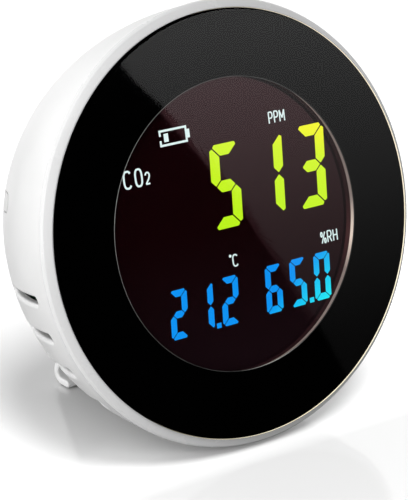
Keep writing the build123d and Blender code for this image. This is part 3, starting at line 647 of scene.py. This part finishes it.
def ribbon(points, width):
    """Outline of a pen line of one width through points."""
    left, right = [], []
    for index, point in enumerate(points):
        here = Vector(point)
        before = Vector(points[max(index - 1, 0)])
        after = Vector(points[min(index + 1, len(points) - 1)])
        ahead = (after - here).normalized() if after != here else (here - before).normalized()
        behind = (here - before).normalized() if here != before else ahead
        along = (ahead + behind).normalized()
        across = Vector((-along.y, along.x))
        reach = width / 2 / max(0.5, across.dot(Vector((-ahead.y, ahead.x))))
        left.append(tuple(here + across * reach))
        right.append(tuple(here - across * reach))
    return left + list(reversed(right))


def squircle(start, end, power=2.8, pieces=22, centre=(0.5, 0.5), size=(0.5, 0.5)):
    """Part of a rounded loop, from one angle in degrees to another, in a letter's box."""
    points = []
    for piece in range(pieces + 1):
        angle = radians(start + (end - start) * piece / pieces)
        c, s = cos(angle), sin(angle)
        x = abs(c) ** (2 / power) * (1 if c >= 0 else -1)
        y = abs(s) ** (2 / power) * (1 if s >= 0 else -1)
        points.append((centre[0] + size[0] * x, centre[1] + size[1] * y))
    return points


def p_loop():
    """The bowl of a P or an R."""
    curve = squircle(90, -90, power=2.4, pieces=14, centre=(0.5, 0.73), size=(0.5, 0.27))
    return [(0, 1)] + curve + [(0, 0.46)]


# Each letter is a list of pen lines in a box one wide and one high
LETTERS = {
    "C": [squircle(38, 322)],
    "O": [squircle(0, 181), squircle(180, 361)],
    "2": [
        squircle(172, -28, power=2.1, pieces=16, centre=(0.5, 0.73), size=(0.48, 0.27))
        + [(0.72, 0.4), (0.02, 0.0)],
        [(0.0, 0.0), (1.0, 0.0)],
    ],
    "P": [[(0, 0), (0, 1)], p_loop()],
    "M": [[(0, 0), (0, 1)], [(1, 0), (1, 1)], [(0, 1), (0.5, 0.3)], [(1, 1), (0.5, 0.3)]],
    "R": [[(0, 0), (0, 1)], p_loop(), [(0.5, 0.46), (1.0, 0)]],
    "H": [[(0, 0), (0, 1)], [(1, 0), (1, 1)], [(0, 0.5), (1, 0.5)]],
    "%": [
        [(0.12, 0), (0.88, 1)],
        squircle(0, 181, 2.2, 10, (0.16, 0.79), (0.16, 0.2)),
        squircle(180, 361, 2.2, 10, (0.16, 0.79), (0.16, 0.2)),
        squircle(0, 181, 2.2, 10, (0.84, 0.21), (0.16, 0.2)),
        squircle(180, 361, 2.2, 10, (0.84, 0.21), (0.16, 0.2)),
    ],
}


def letter(name, left, bottom, width, height, pen):
    """Outlines of one character whose box starts at left, bottom."""
    outlines = []
    for line in LETTERS[name]:
        points = [
            (left + pen / 2 + x * (width - pen), bottom + pen / 2 + y * (height - pen))
            for x, y in line
        ]
        outlines.append(ribbon(points, pen))
    return outlines


# Unit symbols. Each character is its name, left, bottom, width, height and pen width.
UNIT_CHARACTERS = [
    ("C", -28.5, 13.3, 2.35, 4.3, 0.46),
    ("O", -25.4, 13.3, 2.2, 4.3, 0.46),
    ("2", -22.7, 13.45, 1.5, 2.95, 0.38),
    ("P", 13.5, 21.0, 1.35, 2.95, 0.32),
    ("P", 15.1, 21.0, 1.35, 2.95, 0.32),
    ("M", 16.7, 21.0, 1.65, 2.95, 0.32),
    ("C", -1.8, -9.95, 1.7, 3.0, 0.34),
    ("%", 24.45, -9.95, 1.75, 3.0, 0.32),
    ("R", 26.45, -9.95, 1.45, 3.0, 0.32),
    ("H", 28.2, -9.95, 1.45, 3.0, 0.32),
]
symbol_outlines = []
for character in UNIT_CHARACTERS:
    symbol_outlines += letter(*character)
# The degree ring
symbol_outlines.append(
    squircle(0, 337.5, power=2, pieces=15, centre=(-2.25, -7.2), size=(0.36, 0.36))
)
plates("unit_marks", symbol_outlines, symbols_white, "unit_symbols")

# ---------------------------------------------------------------- CAD pieces that keep their shape
polariser = Look("polariser")
grime = polariser.noise(45.0, 5.0)
polariser.principled(
    Base_Color=polariser.mix(
        polariser.along(case_up, case_origin, -0.03, 0.0),
        (0.0150, 0.0060, 0.0085),
        (0.0110, 0.0014, 0.0024),
    ),
    Roughness=polariser.spread(grime, 0.015, 0.035),
    IOR=1.57,
    Specular_Tint=(1.0, 0.40, 0.48, 1),
)

board = Look("solder_mask")
where = board.place()
cells = board.add("ShaderNodeTexVoronoi", Scale=420.0, Vector=where)
cells.feature = "DISTANCE_TO_EDGE"
traces = board.spread(cells.outputs["Distance"], 0.0, 1.0, 0.02, 0.06)
board.principled(
    Base_Color=board.mix(traces, (0.03, 0.24, 0.09), (0.008, 0.11, 0.04)),
    Roughness=board.spread(board.noise(300.0), 0.3, 0.45),
    Normal=board.bump(traces, 0.3, 0.00003),
    IOR=1.5,
)

node_materials = {
    "glass_tape": black_tape,
    "front_polariser": polariser.material,
    "display_front_glass": polariser.material,
    "display_rear_glass": polariser.material,
    "rear_polariser": polariser.material,
    "colour_film": plastic("colour_film", (0.5, 0.6, 0.45), 0.5),
    "light_guide": plastic("light_guide", (0.85, 0.88, 0.88), 0.1, grain=0.02),
    "reflector_film": plastic("reflector_film", (0.9, 0.9, 0.9), 0.3),
    "lamp_strip": plastic("lamp_board", (0.8, 0.8, 0.76), 0.4),
    "backlight_lamps": plastic("lamp_phosphor", (0.85, 0.72, 0.25), 0.3),
    "display_holder": black_plastic,
    "holder_screws": steel,
    "rear_shell": white_satin,
    "case_screws": steel,
    "circuit_board": board.material,
    "board_screws": steel,
    "co2_sensor": gold_can,
    "sensor_filters": rubber("filter_membrane", (0.75, 0.75, 0.72), 0.9),
    "climate_sensor": black_plastic,
    "microcontroller": black_plastic,
    "board_components": black_plastic,
    "buzzer": black_plastic,
    "back_switches": steel,
    "side_switch": steel,
    "usb_socket": connector_steel,
    "usb_tongue": black_plastic,
    "battery_tape": black_tape,
    "battery": battery_foil,
    "battery_connector": plastic("nylon", (0.82, 0.8, 0.72), 0.4),
    "battery_leads": rubber("lead_sleeve", (0.45, 0.03, 0.02), 0.5),
    "ribbon_connector": plastic("nylon_light", (0.84, 0.82, 0.76), 0.4),
    "display_ribbon": plastic("ribbon_amber", (0.55, 0.24, 0.04), 0.35),
    "power_button": white_button,
    "mode_button": white_button,
    "set_button": white_button,
    "stand": white_stand,
    "stand_pad": pad_rubber,
    "hinge_pin": steel,
}
for name, material in node_materials.items():
    node = frame["nodes"][name]
    node.data.materials.clear()
    node.data.materials.append(material)

# ---------------------------------------------------------------- floor, light and camera
FLOOR_REACH = 6.0
# How far the seen floor and the unseen one under it are below the object, in metres
FLOOR_DEPTH = 0.00002
BOUNCE_FLOOR_DEPTH = 0.00006


def level_sheet(name, depth, material):
    """A flat sheet under the object, a little below its lowest point."""
    mesh = bpy.data.meshes.new(name)
    bm = bmesh.new()
    bmesh.ops.create_grid(bm, x_segments=24, y_segments=24, size=FLOOR_REACH)
    bm.to_mesh(mesh)
    bm.free()
    mesh.materials.append(material)
    sheet = bpy.data.objects.new(name, mesh)
    sheet.location.z = cad_box[0][2] - depth
    bpy.context.scene.collection.objects.link(sheet)
    sheet.visible_glossy = False
    return sheet


# The floor is greyer in front of the object: grey up to one distance along Y, white from another
GREY_UP_TO = -0.037
WHITE_FROM = -0.02
paper = Look("pale_floor")
mottle = paper.spread(paper.noise(3.0, 4.0), 0, 1)
paper.principled(
    Base_Color=paper.mix(
        paper.along((0, 1, 0), (0, 0, 0), GREY_UP_TO, WHITE_FROM),
        paper.mix(mottle, (0.56, 0.56, 0.56), (0.58, 0.58, 0.58)),
        paper.mix(mottle, (0.93, 0.93, 0.93), (0.95, 0.95, 0.95)),
    ),
    Roughness=paper.spread(paper.noise(14.0, 4.0), 0.05, 0.08),
    IOR=1.45,
)
floor = level_sheet("floor", FLOOR_DEPTH, paper.material)
floor.visible_diffuse = False

# What the floor throws back on the object comes from a greyer sheet that the camera doesn't see
grey = Look("grey_floor")
grey.principled(
    Base_Color=grey.mix(
        grey.spread(grey.noise(3.0, 4.0), 0, 1), (0.70, 0.70, 0.70), (0.72, 0.72, 0.72)
    ),
    Roughness=grey.spread(grey.noise(14.0, 4.0), 0.85, 0.95),
)
bounce_floor = level_sheet("bounce_floor", BOUNCE_FLOOR_DEPTH, grey.material)
bounce_floor.visible_camera = False
bounce_floor.visible_shadow = False

# The camera's place from the case's origin, and the way it looks
eye_offset = Vector((-0.2837, -0.3762, 0.1675))
looks_along = Vector((0.5523, 0.7584, -0.3462))
camera = bpy.data.objects.new("camera", bpy.data.cameras.new("camera"))
camera.data.lens = 155.74
camera.data.sensor_width = 36
camera.data.clip_start = 0.01
camera.location = case_origin + eye_offset
camera.rotation_euler = looks_along.to_track_quat("-Z", "Y").to_euler()
bpy.context.scene.collection.objects.link(camera)
bpy.context.scene.camera = camera

# The studio is white where it is seen. As a light it is paler, and dimmer to the right. What
# glossy surfaces mirror of it is dark below the horizon, and bright above it and straight on.
LIGHT_LEVEL = 0.58
LIGHT_AT_RIGHT = 0.35 * LIGHT_LEVEL
MIRRORED_DARK = 0.03
MIRRORED_BRIGHT = 1.15
STRAIGHT_ON = (0.589, 0.808, 0.0)
world = bpy.data.worlds.new("studio")
bpy.context.scene.world = world
studio = Nodes(world, "ShaderNodeOutputWorld")


def surround(strength):
    return studio.add("ShaderNodeBackground", Color=(1, 1, 1, 1), Strength=strength).outputs[0]


path = studio.add("ShaderNodeLightPath")
direction = studio.add("ShaderNodeTexCoord").outputs["Generated"]
split = studio.add("ShaderNodeSeparateXYZ", Vector=direction)
light = studio.spread(split.outputs["X"], LIGHT_LEVEL, LIGHT_AT_RIGHT, -0.2, 1)
upward = studio.spread(split.outputs["Z"], 0, 1, 0, 0.05)
onward = studio.vector_math("DOT_PRODUCT", direction, STRAIGHT_ON)["Value"]
onward = studio.spread(onward, 0, 1, 0.82, 0.93)
bright = studio.math("MAXIMUM", upward, onward)
mirrored = studio.spread(bright, MIRRORED_DARK, MIRRORED_BRIGHT, 0, 1)
unseen = studio.blend(path.outputs["Is Glossy Ray"], surround(light), surround(mirrored))
studio.show(studio.blend(path.outputs["Is Camera Ray"], unseen, surround(1.0)))

# The floor has a key light to itself, which gives the shadow; the object's lights miss the floor.
on_the_floor = bpy.data.collections.new("on_the_floor")
on_the_floor.objects.link(floor)
off_the_floor = bpy.data.collections.new("off_the_floor")
off_the_floor.objects.link(floor)
off_the_floor.collection_objects[0].light_linking.link_state = "EXCLUDE"


def soft_light(name, position, size, watts, receivers, in_mirrors=True):
    """A round lamp turned to the case, at a position from the case's origin, in metres."""
    data = bpy.data.lights.new(name, "AREA")
    data.shape = "DISK"
    data.size = size
    data.energy = watts
    lamp = bpy.data.objects.new(name, data)
    lamp.location = case_origin + Vector(position)
    lamp.rotation_euler = (-Vector(position)).to_track_quat("-Z", "Y").to_euler()
    lamp.light_linking.receiver_collection = receivers
    lamp.visible_glossy = in_mirrors
    bpy.context.scene.collection.objects.link(lamp)


soft_light("floor_key", (-0.1, -0.6, 1.3), 0.8, 25.0, on_the_floor)
soft_light("low_floor_key", (-0.1, -1.3, 0.6), 0.8, 12.0, on_the_floor)
soft_light("key_light", (-0.6, -0.75, 1.1), 0.55, 5.0, off_the_floor)
soft_light("left_fill", (-1.3, -0.15, 0.0), 0.5, 12.5, off_the_floor, in_mirrors=False)
soft_light("back_fill", (-1.0, 1.0, 0.4), 0.6, 4.2, off_the_floor, in_mirrors=False)


# How steeply a card gets dimmer towards its foot
FALL_OFF = 1.8


def behind_mirror(point, distance):
    """Where the line from the camera by way of a point on the glass meets a card's plane."""
    eye = stand_up.transposed() @ eye_offset / MM
    image = Vector((eye.x, eye.y, 2 * GLASS_FRONT - eye.z))
    on_glass = Vector((point[0], point[1], GLASS_FRONT))
    reach = (distance - image.z) / (GLASS_FRONT - image.z)
    hit = image + (on_glass - image) * reach
    return hit.x, hit.y


def reflected_card(name, shown_at, distance, emission):
    """A card in front of the glass that only reflections see, at these points of the glass."""
    mesh = bpy.data.meshes.new(name)
    bm = bmesh.new()
    corners = [behind_mirror(point, distance) for point in shown_at]
    bm.faces.new([bm.verts.new((x, y, distance)) for x, y in corners])
    bm.to_mesh(mesh)
    bm.free()
    mesh.transform(case_frame)
    mesh.materials.append(emission)
    card = bpy.data.objects.new(name, mesh)
    bpy.context.scene.collection.objects.link(card)
    card.visible_camera = False
    card.visible_diffuse = False
    card.visible_transmission = False
    card.visible_shadow = False


def card_paint(name, strength_low, strength_high, foot=0.0, top=1.0):
    """Plain light paint for a card, dimmer towards its foot; it lights nothing."""
    n = Look(name)
    height = n.along(case_up, case_origin, foot, top)
    strength = n.spread(n.math("POWER", height, FALL_OFF), strength_low, strength_high, 0, 1)
    n.show(n.add("ShaderNodeEmission", Color=(1, 1, 1, 1), Strength=strength).outputs[0])
    n.material.cycles.emission_sampling = "NONE"
    return n.material


# A dark card covers all that the glass mirrors; a bright one in front of it makes the glare,
# whose edge runs across the glass from upper left to lower right. Points are on the glass.
DARK_DISTANCE = 460.0
DARK_CORNERS = [(-80, -80), (170, -80), (170, 90), (-80, 90)]
reflected_card("dark_card", DARK_CORNERS, DARK_DISTANCE, card_paint("dark_paint", 0.0, 0.0))

GLARE_DISTANCE = 400.0
GLARE_EDGE = [
    (-40, 57), (-31, 47), (-23, 36.5), (-16.6, 29.5), (-7.1, 17), (1.8, 4.6), (5.8, -3.3),
    (11.7, -13.3), (17.2, -25.2), (21.7, -34.1), (26, -45), (30, -60),
]
GLARE_FAR_CORNERS = [(150, -60), (150, 80), (-40, 80)]
GLARE_FOOT = behind_mirror((0, -40), GLARE_DISTANCE)[1] * MM
GLARE_TOP = behind_mirror((0, 45), GLARE_DISTANCE)[1] * MM
glare_paint = card_paint("glare_paint", 0.06, 0.94, GLARE_FOOT, GLARE_TOP)
reflected_card("glare_card", GLARE_EDGE + GLARE_FAR_CORNERS, GLARE_DISTANCE, glare_paint)

bpy.context.scene.view_settings.view_transform = "Standard"
